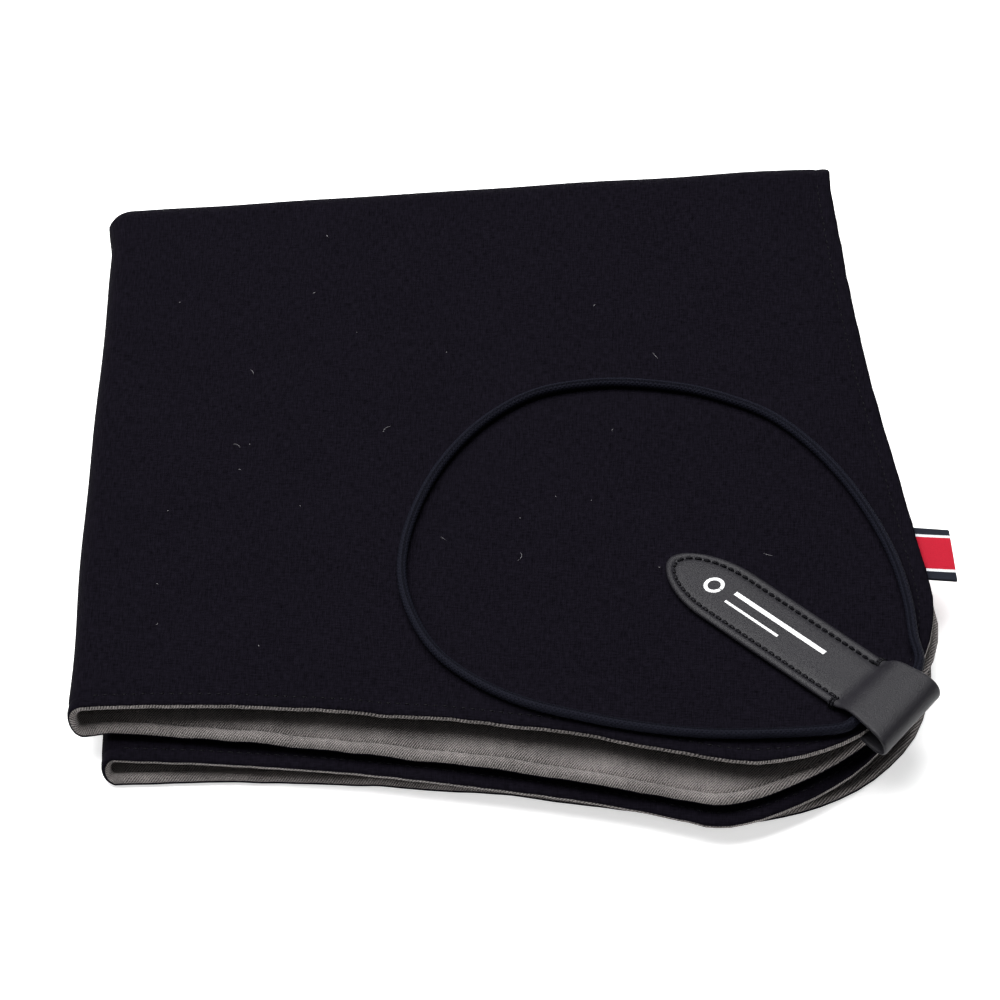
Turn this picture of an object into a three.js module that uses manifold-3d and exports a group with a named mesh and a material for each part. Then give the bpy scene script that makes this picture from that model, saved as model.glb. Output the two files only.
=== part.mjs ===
// A square wrap case of two-ply cloth, folded in half and in half again, with a leather corner
// strap, an elastic loop that runs through the strap, and a small woven label in one side.
// Units are millimetres, +Z is up, +X runs along the back fold and +Y points to the back.
// The model is laid out from the corner where the two folds meet, and centred at the end.
import * as THREE from 'three'
import { mergeVertices } from 'three/addons/utils/BufferGeometryUtils.js'
import Module from 'manifold-3d'

// ---- the cloth ---------------------------------------------------------------------------
const SIDE = 240 // fold to the middle of an open side, so the cloth is 480 across its middle
const CORNER_START = 200 // fold to the place where a side turns into the rounded corner
const FLARE_RUN = 209 // fold to the place where a side has its full flare
const FRONT_FLARE = 33 // how far the front side grows between its middle and the corner
const RIGHT_FLARE = 31 // the same on the right side
const FRONT_CURVE = 2 // exponent of the front side's growth
const RIGHT_CURVE = 1.35 // exponent of the right side's growth
const PLY = 1.2 // thickness of the canvas, and of the lining
const PLY_GAP = 0.3 // between canvas and lining
const CORNER_PLY = 0.9 // the same ply, pressed thin where both folds cross
const SEAM_GAP = 0.3 // between neighbouring pieces that meet edge to edge
const CORNER_GAP = 0.7 // between a left fold and the folded corner, whose edges lean
const HEM_INSET = 4.5 // stitching to the edge
const THREAD = 0.3 // thickness of the sewing thread
const CLEAR = 0.05 // between a thread and the face it lies on

// Heights of the four quarters: z is the lowest face of each quarter's two plies.
const LAYER = 2 * PLY + PLY_GAP
const LOWER_POCKET = 3.6
const MIDDLE_GAP = 1.8
const UPPER_POCKET = 5.8
const BOTTOM_Z = 0
const THIRD_Z = BOTTOM_Z + LAYER + LOWER_POCKET
const SECOND_Z = THIRD_Z + LAYER + MIDDLE_GAP
const TOP_Z = SECOND_Z + LAYER + UPPER_POCKET
const HEIGHT = TOP_Z + LAYER

// ---- the folds ---------------------------------------------------------------------------
const UPPER_FOLD_R = (2 * LAYER + UPPER_POCKET) / 2 // outside radius of the upper left fold
const LOWER_FOLD_R = (2 * LAYER + LOWER_POCKET) / 2
const LOWER_SHIFT = 10 // the lower pair's left fold lies this far to the right
const UPPER_FOLD_X = UPPER_FOLD_R
const LOWER_FOLD_X = LOWER_SHIFT + LOWER_FOLD_R
const BACK_R = HEIGHT / 2 // outside radius of the back fold
const BACK_BULGE = 2.5 // how far the back fold stands out behind the layout's corner
const BACK_Y = BACK_BULGE - BACK_R // centre line of the back fold
const INNER_BACK_Z = THIRD_Z + LAYER + MIDDLE_GAP / 2
const INNER_BACK_Y = BACK_Y + 2.5 // the inner back fold is pushed up against the outer one

// How far each quarter's front and right edges reach past the plain outline, because hand folding
// leaves the lower quarters showing: at the left fold (front), halfway (belly) and at the corner
// (corner and right). The handles are those of the rounded corner's curve: the top corner is full
// in front, and below it each quarter is fuller at the right than the one above.
const QUARTERS = {
  top: {
    z: TOP_Z, foldY: BACK_Y, canvasUp: true,
    front: -1.5, belly: -0.5, corner: -1, right: 1, frontHandle: 55, rightHandle: 35,
  },
  second: {
    z: SECOND_Z, foldY: INNER_BACK_Y, canvasUp: false,
    front: 0, belly: 2.5, corner: 11, right: 2, frontHandle: 20, rightHandle: 50,
  },
  third: {
    z: THIRD_Z, foldY: INNER_BACK_Y, canvasUp: true,
    front: 8, belly: 1, corner: 15, right: -2, frontHandle: 20, rightHandle: 60,
  },
  bottom: {
    z: BOTTOM_Z, foldY: BACK_Y, canvasUp: false,
    front: 13, belly: 0, corner: 8, right: -1, frontHandle: 20, rightHandle: 70,
  },
}

// ---- strap, loop and label ------------------------------------------------------------------
// The strap is laid out along the diagonal from the fold corner: "along" and "across".
const LEATHER = 1.3
const STRAP_TIP = 265
const STRAP_SHOULDER = 25 // tip to full width
const STRAP_SHOULDER_HANDLE = 13 // of the curve between the shoulder and the tip
const STRAP_TIP_HANDLE = 0.45 // the same at the tip, as a share of half the width
const STRAP_SEWN_END = 346
const STRAP_FOLD = 370.5
const STRAP_WIDTH = 24
const STRAP_FOLD_WIDTH = 29
const STRAP_OFFSET = 2.6 // the strap is sewn this far off the diagonal
const STRAP_LIFT = 0.7 // over the cloth, for the hem stitching beneath
const STRAP_STITCH_INSET = 3
const STRAP_THREAD = 0.7
const TUNNEL_ALONG = 358 // the loop's place under the strap
const CORD = 3.2
const SPLICE = 3.8
const SPLICE_LENGTH = 8
const LOOP_LIFT = 2.3 // centre of the loop over the cloth
const LABEL_START = 171
const LABEL_LENGTH = 22
const LABEL_THICK = 0.8
const LABEL_TIP = 277.5
const LABEL_TAIL = 7

// The loop's route over the top quarter, from one face of its splice to the other, as
// [along, across] from the fold corner.
const LOOP_ROUTE = [
  [358, 4.3], [358, 10], [358, 16], [354.3, 22], [346.5, 27.5], [335, 37], [320, 47],
  [302, 56], [281, 63.5], [259, 68], [238, 68], [218, 62], [202, 53], [188, 41], [178, 26],
  [175, 8], [178, -12], [186, -31], [197, -48], [210, -61], [226, -70], [243, -75], [261, -75],
  [279, -71], [296, -63], [312, -54], [328, -43], [342, -31], [352, -21], [357.6, -14],
  [358, -9.5], [358, -4.3],
]

const wasm = await Module()
wasm.setup()

const canvas = () => new THREE.MeshStandardMaterial({ color: 0x17161b, roughness: 0.9 })
const lining = () => new THREE.MeshStandardMaterial({ color: 0x7a7674, roughness: 0.95 })
const thread = () => new THREE.MeshStandardMaterial({ color: 0x101014, roughness: 0.7 })
const leather = () => new THREE.MeshStandardMaterial({ color: 0x36343a, roughness: 0.5 })
const cord = () => new THREE.MeshStandardMaterial({ color: 0x15151f, roughness: 0.8 })
const metal = () => new THREE.MeshStandardMaterial({ color: 0x8a8a90, roughness: 0.4, metalness: 1 })
const woven = () => new THREE.MeshStandardMaterial({ color: 0xb02038, roughness: 0.8 })

function mesh(name, geometry, material) {
  const piece = new THREE.Mesh(geometry, material)
  piece.name = name
  return piece
}

const lerp = THREE.MathUtils.lerp

// ---- outlines of the quarters ------------------------------------------------------------
function frontEdge(quarter, x, inset) {
  const u = x / FLARE_RUN
  const reach = lerp(quarter.front, quarter.corner, u) + quarter.belly * Math.sin(Math.PI * u)
  return -(SIDE + FRONT_FLARE * u ** FRONT_CURVE + reach - inset)
}

function rightEdge(quarter, y, inset) {
  const u = Math.max(-y / FLARE_RUN, 0)
  return SIDE - 1 + RIGHT_FLARE * u ** RIGHT_CURVE + quarter.right * u - inset
}

// The open edge from the left fold, along the front, round the corner and up to the back fold.
function openEdge(quarter, left, back, inset) {
  const steps = 14
  const points = []
  for (let i = 0; i < steps; i++) {
    const x = lerp(left, CORNER_START, i / steps)
    points.push(new THREE.Vector2(x, frontEdge(quarter, x, inset)))
  }
  const onFront = (x) => new THREE.Vector2(x, frontEdge(quarter, x, inset))
  const onRight = (y) => new THREE.Vector2(rightEdge(quarter, y, inset), y)
  const handle = (end, before, length) =>
    end.clone().addScaledVector(end.clone().sub(before).normalize(), length)
  const front = onFront(CORNER_START)
  const right = onRight(-CORNER_START)
  const corner = new THREE.CubicBezierCurve(
    front,
    handle(front, onFront(CORNER_START - 1), quarter.frontHandle),
    handle(right, onRight(1 - CORNER_START), quarter.rightHandle),
    right,
  )
  points.push(...corner.getPoints(12))
  for (let i = 1; i <= steps; i++) {
    const y = lerp(-CORNER_START, back, i / steps)
    points.push(new THREE.Vector2(rightEdge(quarter, y, inset), y))
  }
  return points
}

function quarterPly(quarter, left, z) {
  const back = quarter.foldY - SEAM_GAP
  const shape = new THREE.Shape([...openEdge(quarter, left, back, 0), new THREE.Vector2(left, back)])
  const plate = new THREE.ExtrudeGeometry(shape, { depth: PLY, bevelEnabled: false })
  return plate.translate(0, 0, z)
}

// ---- curved sheets for the folds -----------------------------------------------------------
// A closed sheet of even thickness over point(u, v), with u and v from 0 to 1.
function thickSheet(point, across, along, thickness) {
  const step = 1e-4
  const side = (sign) => {
    const rows = []
    for (let i = 0; i <= across; i++) {
      for (let j = 0; j <= along; j++) {
        const u = i / across
        const v = j / along
        const du = point(Math.min(u + step, 1), v).sub(point(Math.max(u - step, 0), v))
        const dv = point(u, Math.min(v + step, 1)).sub(point(u, Math.max(v - step, 0)))
        const normal = du.cross(dv).normalize()
        rows.push(point(u, v).addScaledVector(normal, (sign * thickness) / 2))
      }
    }
    return rows
  }
  const points = [...side(1), ...side(-1)]
  const half = (across + 1) * (along + 1)
  const at = (i, j, face) => face * half + i * (along + 1) + j
  const index = []
  const quad = (a, b, c, d) => index.push(a, b, c, a, c, d)
  for (let i = 0; i < across; i++) {
    for (let j = 0; j < along; j++) {
      quad(at(i, j, 0), at(i + 1, j, 0), at(i + 1, j + 1, 0), at(i, j + 1, 0))
      quad(at(i, j, 1), at(i, j + 1, 1), at(i + 1, j + 1, 1), at(i + 1, j, 1))
    }
    quad(at(i, 0, 1), at(i + 1, 0, 1), at(i + 1, 0, 0), at(i, 0, 0))
    quad(at(i, along, 0), at(i + 1, along, 0), at(i + 1, along, 1), at(i, along, 1))
  }
  for (let j = 0; j < along; j++) {
    quad(at(0, j, 0), at(0, j + 1, 0), at(0, j + 1, 1), at(0, j, 1))
    quad(at(across, j, 1), at(across, j + 1, 1), at(across, j + 1, 0), at(across, j, 0))
  }
  const geometry = new THREE.BufferGeometry().setFromPoints(points)
  geometry.setIndex(index)
  return geometry
}

// A back fold bends from an upper quarter (turn 0) to a lower one (turn 1).
const OUTER_BACK = { y: BACK_Y, z: BACK_R }
const INNER_BACK = { y: INNER_BACK_Y, z: INNER_BACK_Z }
function backFold(fold, turn, x, radius) {
  const angle = Math.PI * turn
  return new THREE.Vector3(x, fold.y + radius * Math.sin(angle), fold.z + radius * Math.cos(angle))
}

// Where the left folds stop and the flat cloth starts, at each turn of the back fold.
const foldLine = (turn) => lerp(UPPER_FOLD_X, LOWER_FOLD_X, turn)

function leftFold(foldX, centreZ, radius, from, to) {
  return thickSheet(
    (u, v) => {
      const angle = Math.PI * u
      const back = lerp(from.foldY, to.foldY, (1 - Math.cos(angle)) / 2) - CORNER_GAP
      const front = lerp(frontEdge(from, foldX, 0), frontEdge(to, foldX, 0), u)
      return new THREE.Vector3(
        foldX - radius * Math.sin(angle),
        lerp(back, front, v),
        centreZ + radius * Math.cos(angle),
      )
    },
    12,
    4,
    PLY,
  )
}

function backStrip(fold, radius, from, to) {
  return thickSheet(
    (u, v) => {
      const rightEnd = lerp(rightEdge(from, fold.y, 0), rightEdge(to, fold.y, 0), u)
      return backFold(fold, u, lerp(foldLine(u) + SEAM_GAP, rightEnd, v), radius)
    },
    16,
    4,
    PLY,
  )
}

// The left fold where it turns with the back fold: a half round from the outer back fold to the
// inner one, at every turn. bulge is its reach to the left, as a part of a full half round.
function foldCorner(outerRadius, innerRadius, bulge) {
  return thickSheet(
    (u, v) => {
      const x = foldLine(u)
      const outer = backFold(OUTER_BACK, u, x, outerRadius)
      const inner = backFold(INNER_BACK, u, x, innerRadius)
      const centre = outer.clone().add(inner).multiplyScalar(0.5)
      const reach = outer.clone().sub(inner).multiplyScalar(0.5)
      const angle = Math.PI * v
      const point = centre.addScaledVector(reach, Math.cos(angle))
      point.x -= bulge * reach.length() * Math.sin(angle)
      return point
    },
    16,
    12,
    CORNER_PLY,
  )
}

// ---- tubes -----------------------------------------------------------------------------
function tube(points, diameter, sides, steps) {
  const section = new THREE.Shape()
  for (let i = 0; i < sides; i++) {
    const angle = (2 * Math.PI * i) / sides
    const x = (diameter / 2) * Math.cos(angle)
    const y = (diameter / 2) * Math.sin(angle)
    if (i === 0) section.moveTo(x, y)
    else section.lineTo(x, y)
  }
  const extrudePath = new THREE.CatmullRomCurve3(points, false, 'centripetal')
  return new THREE.ExtrudeGeometry(section, { steps, extrudePath, bevelEnabled: false })
}

function hemThread(quarter, left, z) {
  const points = openEdge(quarter, left, quarter.foldY - 2, HEM_INSET)
  return tube(points.map((p) => new THREE.Vector3(p.x, p.y, z)), THREAD, 6, 56)
}

// ---- the leather strap ---------------------------------------------------------------------
const STRAP_TOP = HEIGHT + STRAP_LIFT + LEATHER / 2 // middle of the upper ply
const STRAP_BOTTOM = TOP_Z - 0.1 - LEATHER / 2 // middle of the lower ply
const STRAP_CREST = HEIGHT + LOOP_LIFT + SPLICE / 2 + 0.15 + LEATHER / 2 // over the loop

// The strap's middle line in side view, as (along, z): flat on the cloth, up over the loop,
// round the cloth's corner and back under it.
function strapLine() {
  const line = new THREE.Path()
  const turnStart = STRAP_FOLD - 9.5
  const riseMiddle = STRAP_SEWN_END + 4
  const riseEnd = STRAP_SEWN_END + 11
  const bow = 3 // the fold's handles, past its middle height
  const outermost = STRAP_FOLD - LEATHER / 2
  const middle = (STRAP_CREST + STRAP_BOTTOM) / 2
  line.moveTo(STRAP_TIP - 2, STRAP_TOP)
  line.lineTo(STRAP_SEWN_END, STRAP_TOP)
  line.bezierCurveTo(riseMiddle, STRAP_TOP, riseMiddle + 1, STRAP_CREST, riseEnd, STRAP_CREST)
  line.lineTo(turnStart, STRAP_CREST)
  line.bezierCurveTo(turnStart + 6, STRAP_CREST, outermost, middle + bow, outermost, middle)
  line.bezierCurveTo(outermost, middle - bow, turnStart + 6, STRAP_BOTTOM, turnStart, STRAP_BOTTOM)
  line.lineTo(STRAP_TIP - 2, STRAP_BOTTOM)
  return line.getPoints(10)
}

function strapOutline(inset) {
  const half = STRAP_WIDTH / 2 - inset
  const foldHalf = STRAP_FOLD_WIDTH / 2 - inset
  const tip = STRAP_TIP + inset
  const shoulder = STRAP_TIP + STRAP_SHOULDER
  const outline = new THREE.Path()
  outline.moveTo(STRAP_FOLD + 4, foldHalf)
  outline.bezierCurveTo(STRAP_FOLD - 8, foldHalf, STRAP_SEWN_END + 8, half, STRAP_SEWN_END, half)
  outline.lineTo(shoulder, half)
  outline.bezierCurveTo(shoulder - STRAP_SHOULDER_HANDLE, half, tip, half * STRAP_TIP_HANDLE, tip, 0)
  outline.bezierCurveTo(tip, -half * STRAP_TIP_HANDLE, shoulder - STRAP_SHOULDER_HANDLE, -half, shoulder, -half)
  outline.lineTo(STRAP_SEWN_END, -half)
  outline.bezierCurveTo(STRAP_SEWN_END + 8, -half, STRAP_FOLD - 8, -foldHalf, STRAP_FOLD + 4, -foldHalf)
  return outline.getPoints(8)
}

function toSolid(geometry) {
  const clean = geometry.clone()
  clean.deleteAttribute('normal')
  clean.deleteAttribute('uv')
  const merged = mergeVertices(clean)
  return new wasm.Manifold(
    new wasm.Mesh({
      numProp: 3,
      vertProperties: new Float32Array(merged.attributes.position.array),
      triVerts: new Uint32Array(merged.index.array),
    }),
  )
}

function toGeometry(solid) {
  const result = solid.getMesh()
  const geometry = new THREE.BufferGeometry()
  geometry.setAttribute('position', new THREE.BufferAttribute(new Float32Array(result.vertProperties), 3))
  geometry.setIndex(new THREE.BufferAttribute(new Uint32Array(result.triVerts), 1))
  return geometry
}

function strapGeometry() {
  const line = strapLine()
  const offset = (sign) =>
    line.map((p, i) => {
      const before = line[Math.max(i - 1, 0)]
      const after = line[Math.min(i + 1, line.length - 1)]
      const along = after.clone().sub(before).normalize()
      const reach = (sign * LEATHER) / 2
      return new THREE.Vector2(p.x - along.y * reach, p.y + along.x * reach)
    })
  const profile = new THREE.Shape([...offset(1), ...offset(-1).reverse()])
  const width = STRAP_FOLD_WIDTH + 4
  const band = new THREE.ExtrudeGeometry(profile, { depth: width, bevelEnabled: false })
  band.rotateX(Math.PI / 2).translate(0, width / 2, 0)
  const plan = new THREE.ExtrudeGeometry(new THREE.Shape(strapOutline(0)), {
    depth: 2 * HEIGHT,
    bevelEnabled: false,
  })
  return toGeometry(toSolid(band).intersect(toSolid(plan)))
}

function strapThread() {
  const z = STRAP_TOP + LEATHER / 2 + CLEAR + STRAP_THREAD / 2
  const outline = strapOutline(STRAP_STITCH_INSET).filter((p) => p.x <= STRAP_SEWN_END)
  return tube(outline.map((p) => new THREE.Vector3(p.x, p.y, z)), STRAP_THREAD, 6, 56)
}

function loopGeometry() {
  const z = HEIGHT + LOOP_LIFT
  return tube(LOOP_ROUTE.map(([along, across]) => new THREE.Vector3(along, across, z)), CORD, 8, 76)
}

function spliceGeometry() {
  const splice = new THREE.CylinderGeometry(SPLICE / 2, SPLICE / 2, SPLICE_LENGTH, 12)
  return splice.translate(TUNNEL_ALONG, 0, HEIGHT + LOOP_LIFT)
}

// ---- the label: a ribbon folded double, its tail sewn under the top quarter -------------------
function labelGeometry() {
  const z = TOP_Z - 0.1 - LABEL_THICK
  const root = rightEdge(QUARTERS.top, -LABEL_START, 0) - LABEL_TAIL
  const shape = new THREE.Shape()
  shape.moveTo(root, -LABEL_START - LABEL_LENGTH)
  shape.lineTo(LABEL_TIP, -LABEL_START - LABEL_LENGTH - 3)
  shape.lineTo(LABEL_TIP - 1, -LABEL_START - 3)
  shape.lineTo(root, -LABEL_START)
  return new THREE.ExtrudeGeometry(shape, { depth: LABEL_THICK, bevelEnabled: false }).translate(0, 0, z)
}

// ---- assembly ------------------------------------------------------------------------------
const wrap = new THREE.Group()
const panelLeft = {
  top: UPPER_FOLD_X + SEAM_GAP,
  second: UPPER_FOLD_X + SEAM_GAP,
  third: LOWER_FOLD_X + SEAM_GAP,
  bottom: LOWER_FOLD_X + SEAM_GAP,
}

for (const [name, quarter] of Object.entries(QUARTERS)) {
  const over = quarter.z + PLY + PLY_GAP
  const canvasZ = quarter.canvasUp ? over : quarter.z
  const liningZ = quarter.canvasUp ? quarter.z : over
  const left = panelLeft[name]
  wrap.add(mesh(`${name}_quarter_canvas`, quarterPly(quarter, left, canvasZ), canvas()))
  wrap.add(mesh(`${name}_quarter_lining`, quarterPly(quarter, left, liningZ), lining()))
}

const above = CLEAR + THREAD / 2
const hemZ = {
  top: HEIGHT + above,
  second: SECOND_Z - above,
  third: THIRD_Z + LAYER + above,
  bottom: BOTTOM_Z + LAYER + above,
}
for (const [name, quarter] of Object.entries(QUARTERS)) {
  wrap.add(mesh(`${name}_hem_thread`, hemThread(quarter, panelLeft[name] + 2, hemZ[name]), thread()))
}

const outerCanvasR = BACK_R - PLY / 2
const outerLiningR = outerCanvasR - PLY - PLY_GAP
const innerCanvasR = MIDDLE_GAP / 2 + PLY / 2
const innerLiningR = innerCanvasR + PLY + PLY_GAP
const plyStep = PLY + PLY_GAP

const { top, second, third, bottom } = QUARTERS
const upperZ = SECOND_Z + UPPER_FOLD_R
const lowerZ = BOTTOM_Z + LOWER_FOLD_R
const upperR = UPPER_FOLD_R - PLY / 2
const lowerR = LOWER_FOLD_R - PLY / 2
wrap.add(mesh('upper_left_fold_canvas', leftFold(UPPER_FOLD_X, upperZ, upperR, top, second), canvas()))
wrap.add(mesh('upper_left_fold_lining', leftFold(UPPER_FOLD_X, upperZ, upperR - plyStep, top, second), lining()))
wrap.add(mesh('lower_left_fold_canvas', leftFold(LOWER_FOLD_X, lowerZ, lowerR, third, bottom), canvas()))
wrap.add(mesh('lower_left_fold_lining', leftFold(LOWER_FOLD_X, lowerZ, lowerR - plyStep, third, bottom), lining()))
wrap.add(mesh('outer_back_fold_canvas', backStrip(OUTER_BACK, outerCanvasR, top, bottom), canvas()))
wrap.add(mesh('outer_back_fold_lining', backStrip(OUTER_BACK, outerLiningR, top, bottom), lining()))
wrap.add(mesh('inner_back_fold_canvas', backStrip(INNER_BACK, innerCanvasR, second, third), canvas()))
wrap.add(mesh('inner_back_fold_lining', backStrip(INNER_BACK, innerLiningR, second, third), lining()))
wrap.add(mesh('corner_fold_canvas', foldCorner(outerCanvasR, innerCanvasR, 1), canvas()))
wrap.add(mesh('corner_fold_lining', foldCorner(outerLiningR, innerLiningR, 0.9), lining()))
wrap.add(mesh('side_label', labelGeometry(), woven()))

// The diagonal's own group: X runs from the fold corner out to the open corner.
const diagonal = new THREE.Group()
diagonal.rotation.z = -Math.PI / 4
const strap = new THREE.Group()
strap.position.y = STRAP_OFFSET
strap.add(mesh('corner_strap', strapGeometry(), leather()))
strap.add(mesh('strap_thread', strapThread(), thread()))
diagonal.add(strap)
diagonal.add(mesh('elastic_loop', loopGeometry(), cord()))
diagonal.add(mesh('loop_splice', spliceGeometry(), metal()))
wrap.add(diagonal)

const frontReach = Math.max(
  ...Object.values(QUARTERS).flatMap((q) => openEdge(q, LOWER_FOLD_X, q.foldY, 0).map((p) => -p.y)),
)
wrap.position.set(-LABEL_TIP / 2, (frontReach - BACK_BULGE) / 2, 0)
const part = new THREE.Group()
part.add(wrap)
export default part
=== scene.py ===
"""The looks of a square cloth wrap case, folded in quarters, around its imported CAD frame.

The shapes are worked out in millimetres from the corner where the two folds meet, as in the CAD
model: +X along the back fold, +Y to the back, +Z up. place() turns them into the frame's metres.
"""
import math
from types import SimpleNamespace

import bpy
import numpy as np
from mathutils import Matrix, Vector


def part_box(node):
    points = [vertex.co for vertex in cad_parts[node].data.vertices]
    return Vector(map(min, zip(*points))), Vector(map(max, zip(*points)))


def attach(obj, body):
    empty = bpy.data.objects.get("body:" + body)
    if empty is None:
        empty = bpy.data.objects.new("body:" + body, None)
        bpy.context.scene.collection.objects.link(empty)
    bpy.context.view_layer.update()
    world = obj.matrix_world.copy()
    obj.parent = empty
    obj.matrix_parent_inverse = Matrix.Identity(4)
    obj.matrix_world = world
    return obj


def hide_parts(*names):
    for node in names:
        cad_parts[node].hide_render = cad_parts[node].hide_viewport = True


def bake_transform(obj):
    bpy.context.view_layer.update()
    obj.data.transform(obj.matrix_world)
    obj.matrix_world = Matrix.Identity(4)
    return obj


MM = 0.001

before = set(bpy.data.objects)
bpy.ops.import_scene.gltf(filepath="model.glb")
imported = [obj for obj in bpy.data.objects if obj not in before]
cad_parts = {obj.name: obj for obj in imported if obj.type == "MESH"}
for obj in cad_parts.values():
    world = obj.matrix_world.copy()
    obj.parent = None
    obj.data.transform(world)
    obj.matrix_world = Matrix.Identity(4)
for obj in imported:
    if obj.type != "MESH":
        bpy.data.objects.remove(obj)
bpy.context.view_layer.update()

# ---- the frame's places, in millimetres -----------------------------------------------------
BACK_BULGE = 2.5  # how far the back fold stands out behind the layout's corner
FOLD_CORNER = np.array([
    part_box("upper_left_fold_canvas")[0].x,
    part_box("outer_back_fold_canvas")[1].y - BACK_BULGE * MM,
    0.0,
])


def place(points):
    """Points in mm from the fold corner, as points of the frame in metres."""
    return np.asarray(points, float) * MM + FOLD_CORNER


def place_diagonal(points):
    """(along, across, z) in mm on the diagonal through the fold corner, as points of the frame."""
    p = np.asarray(points, float)
    half = math.sqrt(0.5)
    return place(
        np.column_stack([(p[:, 0] + p[:, 1]) * half, (p[:, 1] - p[:, 0]) * half, p[:, 2]])
    )


def heights(*nodes):
    """Lowest and highest z of those nodes together, in mm."""
    boxes = [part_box(node) for node in nodes]
    return min(b[0].z for b in boxes) / MM, max(b[1].z for b in boxes) / MM


# ---- the cloth's outline, as in the CAD model -------------------------------------------------
SIDE = 240
CORNER_START = 200
FLARE_RUN = 209
FRONT_FLARE = 33
RIGHT_FLARE = 31
FRONT_CURVE = 2
RIGHT_CURVE = 1.35
FRONT_STEPS = 68
CORNER_STEPS = 18
RIGHT_STEPS = 62


def quarter(name, fold_y, side, front, belly, corner, right, handles, ripple, crease):
    low, high = heights(f"{name}_quarter_canvas", f"{name}_quarter_lining")
    return SimpleNamespace(
        name=name, fold_y=fold_y, side=side, front=front, belly=belly, corner=corner, right=right,
        handles=handles, ripple=ripple, crease=crease, mid=(low + high) / 2, half=(high - low) / 2,
    )


OUTER_BACK_Y = BACK_BULGE - 11
INNER_BACK_Y = BACK_BULGE - 8.5
UPPER_FOLD_X = 5.6
LOWER_FOLD_X = 14.5
# As in the CAD model, how far each quarter reaches in front (at the left fold, halfway more, and at
# the corner) and at the right, and the corner's handles; then its swells and creases.
TOP = quarter("top", OUTER_BACK_Y, 1, -1.5, -0.5, -1, 1, (55, 35), 0.5, 0.12)
SECOND = quarter("second", INNER_BACK_Y, -1, 0, 2.5, 11, 2, (20, 50), 0.3, 0.45)
THIRD = quarter("third", INNER_BACK_Y, 1, 8, 1, 15, -2, (20, 60), 0.2, 0.1)
BOTTOM = quarter("bottom", OUTER_BACK_Y, -1, 13, 0, 8, -1, (20, 70), 0.12, 0.12)
QUARTERS = [TOP, SECOND, THIRD, BOTTOM]
BODY_HALF = TOP.half
HEIGHT = TOP.mid + BODY_HALF
MIDDLE_Z = (SECOND.mid + THIRD.mid) / 2

# Half thickness of the cloth on each side by the distance to its edge: the lining's side of the
# hem is a puffy roll with a deep sewn groove behind it, the canvas side nearly flat.
HEM_DEPTH = [0, 0.08, 0.3, 0.7, 1.3, 2.2, 3.2, 3.9, 4.5, 5.1, 6.0, 7.5, 10]
LINING_HALF = [0, 0.5, 1.0, 1.45, 1.75, 1.85, 1.65, 1.15, 0.5, 0.95, 1.25, BODY_HALF, BODY_HALF]
CANVAS_HALF = [0, 0.45, 0.8, 1.05, 1.2, 1.27, 1.24, 1.18, 1.02, 1.16, 1.28, BODY_HALF, BODY_HALF]
HEM_INSET = 4.5
SEAM_SHIFT = [-0.35, 0.1, 0.0, 0.75]  # the seam's height in the edge, from the bottom quarter up
PLY_SPLIT = 0.03
EDGE_FADE = 12


def lerp(a, b, t):
    return a + (b - a) * t


def smooth(t):
    t = np.clip(t, 0, 1)
    return t * t * (3 - 2 * t)


def eased(count):
    """count + 1 places from 0 to 1, close together at both ends."""
    return (1 - np.cos(np.pi * np.linspace(0, 1, count + 1))) / 2


def bezier(a, b, c, d, t):
    """Points of a cubic curve."""
    return (1 - t) ** 3 * a + 3 * (1 - t) ** 2 * t * b + 3 * (1 - t) * t * t * c + t**3 * d


def run_length(points):
    """The length along a line up to each of its points."""
    return np.concatenate([[0], np.cumsum(np.linalg.norm(np.diff(points, axis=0), axis=1))])


def ripple(x, y, seed, wavelength, waves=8):
    """Smooth noise between about -1 and 1, from a few sine waves of about one wavelength."""
    rng = np.random.default_rng(seed)
    total = np.zeros(np.broadcast(x, y).shape)
    for _ in range(waves):
        angle = rng.uniform(0, np.pi)
        turn = 2 * np.pi / (wavelength * rng.uniform(0.65, 1.5))
        total += np.sin(turn * (x * np.cos(angle) + y * np.sin(angle)) + rng.uniform(0, 2 * np.pi))
    return total / (1.3 * math.sqrt(waves))


def front_edge(q, x, inset):
    u = x / FLARE_RUN
    reach = lerp(q.front, q.corner, u) + q.belly * np.sin(np.pi * u)
    return -(SIDE + FRONT_FLARE * u**FRONT_CURVE + reach - inset)


def right_edge(q, y, inset):
    u = np.maximum(-y / FLARE_RUN, 0)
    return SIDE - 1 + RIGHT_FLARE * u**RIGHT_CURVE + q.right * u - inset


def plain_outline(q, left, inset):
    """The open edge from the left fold, along the front, round the corner, to the back fold."""
    x = np.linspace(left, CORNER_START, FRONT_STEPS + 1)
    y = np.linspace(-CORNER_START, q.fold_y, RIGHT_STEPS + 1)
    front = np.column_stack([x, front_edge(q, x, inset)])
    right = np.column_stack([right_edge(q, y, inset), y])
    a, d = front[-1], right[0]
    b, c = (
        end + (end - before) / np.linalg.norm(end - before) * handle
        for end, before, handle in (
            (a, [CORNER_START - 1, front_edge(q, CORNER_START - 1, inset)], q.handles[0]),
            (d, [right_edge(q, 1 - CORNER_START, inset), 1 - CORNER_START], q.handles[1]),
        )
    )
    t = np.linspace(0, 1, CORNER_STEPS + 1)[1:-1, None]
    return np.vstack([front, bezier(a, b, c, d, t), right])


def outline(q, left, inset):
    """The same, with the slight waver that a sewn edge has."""
    edge = plain_outline(q, left, 0)
    deep = plain_outline(q, left, EDGE_FADE)
    outward = (edge - deep) / EDGE_FADE
    waver = 0.45 * ripple(edge[:, 0], edge[:, 1], seed_of(q), 46)
    waver += 0.14 * ripple(edge[:, 0], edge[:, 1], seed_of(q) + 1, 11)
    fade = max(0.0, 1 - inset / EDGE_FADE)
    return plain_outline(q, left, inset) + outward * (waver * fade)[:, None]


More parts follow.
